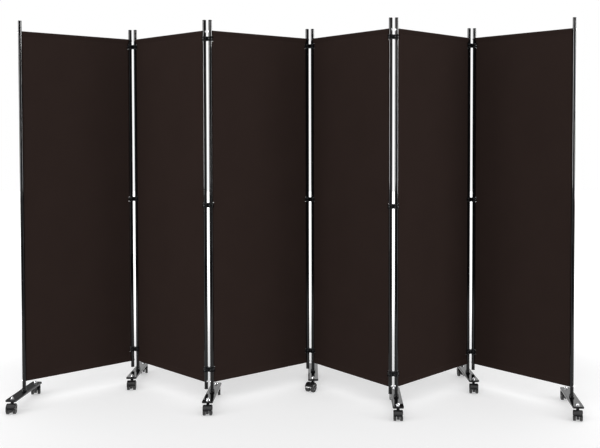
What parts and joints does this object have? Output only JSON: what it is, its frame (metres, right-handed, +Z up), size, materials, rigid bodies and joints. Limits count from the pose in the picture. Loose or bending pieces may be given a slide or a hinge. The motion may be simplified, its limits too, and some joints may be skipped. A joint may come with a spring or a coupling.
{
  "type": "folding room divider",
  "caption": "Folding fabric room divider: steel post panels joined by double-eyed plastic clips, standing on turning steel feet with twin-wheel casters.",
  "frame": {"origin": "on the floor, under the middle of the standing screen's box", "axes": "+X along the row of panels from left to right, +Y from the side that the picture shows to the far side, +Z up"},
  "size_m": [2.5224, 0.7835, 1.73],
  "materials": {
    "post_paint": "gloss black paint on steel tube",
    "foot_paint": "gloss black paint on pressed steel",
    "fabric": "dark brown plain-woven polyester",
    "clip_plastic": "satin black moulded plastic",
    "caster_plastic": "satin black moulded plastic",
    "wheel_plastic": "satin black moulded plastic",
    "zinc": "bright zinc-plated steel"
  },
  "bodies": {
    "panel_1": {"panel_1_frame": "post_paint", "panel_1_fabric": "fabric"},
    "panel_2": {"panel_2_frame": "post_paint", "panel_2_fabric": "fabric"},
    "panel_3": {"panel_3_frame": "post_paint", "panel_3_fabric": "fabric"},
    "panel_4": {"panel_4_frame": "post_paint", "panel_4_fabric": "fabric"},
    "panel_5": {"panel_5_frame": "post_paint", "panel_5_fabric": "fabric"},
    "panel_6": {"panel_6_frame": "post_paint", "panel_6_fabric": "fabric"},
    "hinge_1": {"hinge_1_clips": "clip_plastic"},
    "hinge_2": {"hinge_2_clips": "clip_plastic"},
    "hinge_3": {"hinge_3_clips": "clip_plastic"},
    "hinge_4": {"hinge_4_clips": "clip_plastic"},
    "hinge_5": {"hinge_5_clips": "clip_plastic"},
    "foot_1": {"foot_1": "foot_paint", "foot_1_studs": "zinc"},
    "caster_1_front": {"caster_1_front_housing": "caster_plastic"},
    "caster_1_front_wheels": {"caster_1_front_wheels": "wheel_plastic"},
    "caster_1_back": {"caster_1_back_housing": "caster_plastic"},
    "caster_1_back_wheels": {"caster_1_back_wheels": "wheel_plastic"},
    "foot_2": {"foot_2": "foot_paint", "foot_2_studs": "zinc"},
    "caster_2_front": {"caster_2_front_housing": "caster_plastic"},
    "caster_2_front_wheels": {"caster_2_front_wheels": "wheel_plastic"},
    "caster_2_back": {"caster_2_back_housing": "caster_plastic"},
    "caster_2_back_wheels": {"caster_2_back_wheels": "wheel_plastic"},
    "foot_3": {"foot_3": "foot_paint", "foot_3_studs": "zinc"},
    "caster_3_front": {"caster_3_front_housing": "caster_plastic"},
    "caster_3_front_wheels": {"caster_3_front_wheels": "wheel_plastic"},
    "caster_3_back": {"caster_3_back_housing": "caster_plastic"},
    "caster_3_back_wheels": {"caster_3_back_wheels": "wheel_plastic"},
    "foot_4": {"foot_4": "foot_paint", "foot_4_studs": "zinc"},
    "caster_4_front": {"caster_4_front_housing": "caster_plastic"},
    "caster_4_front_wheels": {"caster_4_front_wheels": "wheel_plastic"},
    "caster_4_back": {"caster_4_back_housing": "caster_plastic"},
    "caster_4_back_wheels": {"caster_4_back_wheels": "wheel_plastic"},
    "foot_5": {"foot_5": "foot_paint", "foot_5_studs": "zinc"},
    "caster_5_front": {"caster_5_front_housing": "caster_plastic"},
    "caster_5_front_wheels": {"caster_5_front_wheels": "wheel_plastic"},
    "caster_5_back": {"caster_5_back_housing": "caster_plastic"},
    "caster_5_back_wheels": {"caster_5_back_wheels": "wheel_plastic"},
    "foot_6": {"foot_6": "foot_paint", "foot_6_studs": "zinc"},
    "caster_6_front": {"caster_6_front_housing": "caster_plastic"},
    "caster_6_front_wheels": {"caster_6_front_wheels": "wheel_plastic"},
    "caster_6_back": {"caster_6_back_housing": "caster_plastic"},
    "caster_6_back_wheels": {"caster_6_back_wheels": "wheel_plastic"},
    "foot_7": {"foot_7": "foot_paint", "foot_7_studs": "zinc"},
    "caster_7_front": {"caster_7_front_housing": "caster_plastic"},
    "caster_7_front_wheels": {"caster_7_front_wheels": "wheel_plastic"},
    "caster_7_back": {"caster_7_back_housing": "caster_plastic"},
    "caster_7_back_wheels": {"caster_7_back_wheels": "wheel_plastic"}
  },
  "joints": [
    {"name": "hinge_1_right_eye", "type": "hinge", "parent": "panel_2", "child": "hinge_1", "pos_m": [-0.79471, 0.21992, 0.865], "axis": [0, 0, 1], "range_deg": [-128, 44]},
    {"name": "hinge_1_left_eye", "type": "hinge", "parent": "hinge_1", "child": "panel_1", "pos_m": [-0.82071, 0.22037, 0.865], "axis": [0, 0, 1], "range_deg": [-128, 44]},
    {"name": "hinge_2_right_eye", "type": "hinge", "parent": "panel_3", "child": "hinge_2", "pos_m": [-0.3738, -0.14927, 0.865], "axis": [0, 0, -1], "range_deg": [-127, 45]},
    {"name": "hinge_2_left_eye", "type": "hinge", "parent": "hinge_2", "child": "panel_2", "pos_m": [-0.39978, -0.14836, 0.865], "axis": [0, 0, -1], "range_deg": [-127, 45]},
    {"name": "hinge_3_right_eye", "type": "hinge", "parent": "panel_4", "child": "hinge_3", "pos_m": [0.07176, 0.1883, 0.865], "axis": [0, 0, 1], "range_deg": [-130, 42]},
    {"name": "hinge_3_left_eye", "type": "hinge", "parent": "hinge_3", "child": "panel_3", "pos_m": [0.04586, 0.19057, 0.865], "axis": [0, 0, 1], "range_deg": [-130, 42]},
    {"name": "hinge_4_left_eye", "type": "hinge", "parent": "panel_4", "child": "hinge_4", "pos_m": [0.42603, -0.21924, 0.865], "axis": [0, 0, 1], "range_deg": [-133.5, 38.5]},
    {"name": "hinge_4_right_eye", "type": "hinge", "parent": "hinge_4", "child": "panel_5", "pos_m": [0.45202, -0.21992, 0.865], "axis": [0, 0, 1], "range_deg": [-133.5, 38.5]},
    {"name": "hinge_5_left_eye", "type": "hinge", "parent": "panel_5", "child": "hinge_5", "pos_m": [0.82714, 0.16852, 0.865], "axis": [0, 0, -1], "range_deg": [-132, 40]},
    {"name": "hinge_5_right_eye", "type": "hinge", "parent": "hinge_5", "child": "panel_6", "pos_m": [0.85314, 0.16852, 0.865], "axis": [0, 0, -1], "range_deg": [-132, 40]},
    {"name": "foot_1_turn", "type": "hinge", "parent": "panel_1", "child": "foot_1", "pos_m": [-1.22825, -0.1339, 0.0603], "axis": [0, 0, -1], "range_deg": [-134.5, 45.5]},
    {"name": "caster_1_front_swivel", "type": "hinge", "parent": "foot_1", "child": "caster_1_front", "pos_m": [-1.23576, -0.25667, 0.046], "axis": [0, 0, 1], "continuous": true},
    {"name": "caster_1_front_spin", "type": "hinge", "parent": "caster_1_front", "child": "caster_1_front_wheels", "pos_m": [-1.23266, -0.27744, 0.021], "axis": [0.989, 0.1478, 0], "continuous": true},
    {"name": "caster_1_back_swivel", "type": "hinge", "parent": "foot_1", "child": "caster_1_back", "pos_m": [-1.22074, -0.01113, 0.046], "axis": [0, 0, 1], "continuous": true},
    {"name": "caster_1_back_spin", "type": "hinge", "parent": "caster_1_back", "child": "caster_1_back_wheels", "pos_m": [-1.22671, 0.00901, 0.021], "axis": [-0.9588, -0.284, 0], "continuous": true},
    {"name": "foot_2_turn", "type": "hinge", "parent": "panel_2", "child": "foot_2", "pos_m": [-0.79471, 0.21992, 0.0603], "axis": [0, 0, 1], "range_deg": [-133, 47]},
    {"name": "caster_2_front_swivel", "type": "hinge", "parent": "foot_2", "child": "caster_2_front", "pos_m": [-0.79471, 0.09692, 0.046], "axis": [0, 0, 1], "continuous": true},
    {"name": "caster_2_front_spin", "type": "hinge", "parent": "caster_2_front", "child": "caster_2_front_wheels", "pos_m": [-0.79216, 0.07608, 0.021], "axis": [0.9925, 0.1219, 0], "continuous": true},
    {"name": "caster_2_back_swivel", "type": "hinge", "parent": "foot_2", "child": "caster_2_back", "pos_m": [-0.79471, 0.34292, 0.046], "axis": [0, 0, 1], "continuous": true},
    {"name": "caster_2_back_spin", "type": "hinge", "parent": "caster_2_back", "child": "caster_2_back_wheels", "pos_m": [-0.79944, 0.36338, 0.021], "axis": [-0.9744, -0.225, 0], "continuous": true},
    {"name": "foot_3_turn", "type": "hinge", "parent": "panel_3", "child": "foot_3", "pos_m": [-0.3738, -0.14927, 0.0603], "axis": [0, 0, -1], "range_deg": [-129, 51]},
    {"name": "caster_3_front_swivel", "type": "hinge", "parent": "foot_3", "child": "caster_3_front", "pos_m": [-0.3738, -0.27226, 0.046], "axis": [0, 0, 1], "continuous": true},
    {"name": "caster_3_front_spin", "type": "hinge", "parent": "caster_3_front", "child": "caster_3_front_wheels", "pos_m": [-0.37234, -0.29321, 0.021], "axis": [0.9976, 0.0698, 0], "continuous": true},
    {"name": "caster_3_back_swivel", "type": "hinge", "parent": "foot_3", "child": "caster_3_back", "pos_m": [-0.3738, -0.02627, 0.046], "axis": [0, 0, 1], "continuous": true},
    {"name": "caster_3_back_spin", "type": "hinge", "parent": "caster_3_back", "child": "caster_3_back_wheels", "pos_m": [-0.37672, -0.00547, 0.021], "axis": [-0.9903, -0.1392, 0], "continuous": true},
    {"name": "foot_4_turn", "type": "hinge", "parent": "panel_4", "child": "foot_4", "pos_m": [0.07176, 0.1883, 0.0603], "axis": [0, 0, 1], "range_deg": [-141, 39]},
    {"name": "caster_4_front_swivel", "type": "hinge", "parent": "foot_4", "child": "caster_4_front", "pos_m": [0.07605, 0.06538, 0.046], "axis": [0, 0, 1], "continuous": true},
    {"name": "caster_4_front_spin", "type": "hinge", "parent": "caster_4_front", "child": "caster_4_front_wheels", "pos_m": [0.06555, 0.04719, 0.021], "axis": [0.866, -0.5, 0], "continuous": true},
    {"name": "caster_4_back_swivel", "type": "hinge", "parent": "foot_4", "child": "caster_4_back", "pos_m": [0.06747, 0.31123, 0.046], "axis": [0, 0, 1], "continuous": true},
    {"name": "caster_4_back_spin", "type": "hinge", "parent": "caster_4_back", "child": "caster_4_back_wheels", "pos_m": [0.06674, 0.33221, 0.021], "axis": [-0.9994, -0.0349, 0], "continuous": true},
    {"name": "foot_5_turn", "type": "hinge", "parent": "panel_5", "child": "foot_5", "pos_m": [0.45202, -0.21992, 0.0603], "axis": [0, 0, -1], "range_deg": [-136, 44]},
    {"name": "caster_5_front_swivel", "type": "hinge", "parent": "foot_5", "child": "caster_5_front", "pos_m": [0.45202, -0.34292, 0.046], "axis": [0, 0, 1], "continuous": true},
    {"name": "caster_5_front_spin", "type": "hinge", "parent": "caster_5_front", "child": "caster_5_front_wheels", "pos_m": [0.45129, -0.36391, 0.021], "axis": [0.9994, -0.0349, 0], "continuous": true},
    {"name": "caster_5_back_swivel", "type": "hinge", "parent": "foot_5", "child": "caster_5_back", "pos_m": [0.45202, -0.09692, 0.046], "axis": [0, 0, 1], "continuous": true},
    {"name": "caster_5_back_spin", "type": "hinge", "parent": "caster_5_back", "child": "caster_5_back_wheels", "pos_m": [0.45202, -0.07592, 0.021], "axis": [-1, 0, 0], "continuous": true},
    {"name": "foot_6_turn", "type": "hinge", "parent": "panel_5", "child": "foot_6", "pos_m": [0.82714, 0.16852, 0.0603], "axis": [0, 0, -1], "range_deg": [-132, 48]},
    {"name": "caster_6_front_swivel", "type": "hinge", "parent": "foot_6", "child": "caster_6_front", "pos_m": [0.83572, 0.04582, 0.046], "axis": [0, 0, 1], "continuous": true},
    {"name": "caster_6_front_spin", "type": "hinge", "parent": "caster_6_front", "child": "caster_6_front_wheels", "pos_m": [0.83389, 0.0249, 0.021], "axis": [0.9962, -0.0872, 0], "continuous": true},
    {"name": "caster_6_back_swivel", "type": "hinge", "parent": "foot_6", "child": "caster_6_back", "pos_m": [0.81856, 0.29122, 0.046], "axis": [0, 0, 1], "continuous": true},
    {"name": "caster_6_back_spin", "type": "hinge", "parent": "caster_6_back", "child": "caster_6_back_wheels", "pos_m": [0.81709, 0.31217, 0.021], "axis": [-0.9976, -0.0698, 0], "continuous": true},
    {"name": "foot_7_turn", "type": "hinge", "parent": "panel_6", "child": "foot_7", "pos_m": [1.22825, -0.21992, 0.0603], "axis": [0, 0, 1], "range_deg": [-132.5, 47.5]},
    {"name": "caster_7_front_swivel", "type": "hinge", "parent": "foot_7", "child": "caster_7_front", "pos_m": [1.22074, -0.34269, 0.046], "axis": [0, 0, 1], "continuous": true},
    {"name": "caster_7_front_spin", "type": "hinge", "parent": "caster_7_front", "child": "caster_7_front_wheels", "pos_m": [1.21584, -0.36311, 0.021], "axis": [0.9724, -0.2334, 0], "continuous": true},
    {"name": "caster_7_back_swivel", "type": "hinge", "parent": "foot_7", "child": "caster_7_back", "pos_m": [1.23576, -0.09715, 0.046], "axis": [0, 0, 1], "continuous": true},
    {"name": "caster_7_back_spin", "type": "hinge", "parent": "caster_7_back", "child": "caster_7_back_wheels", "pos_m": [1.23814, -0.07629, 0.021], "axis": [-0.9936, 0.1132, 0], "continuous": true}
  ]
}
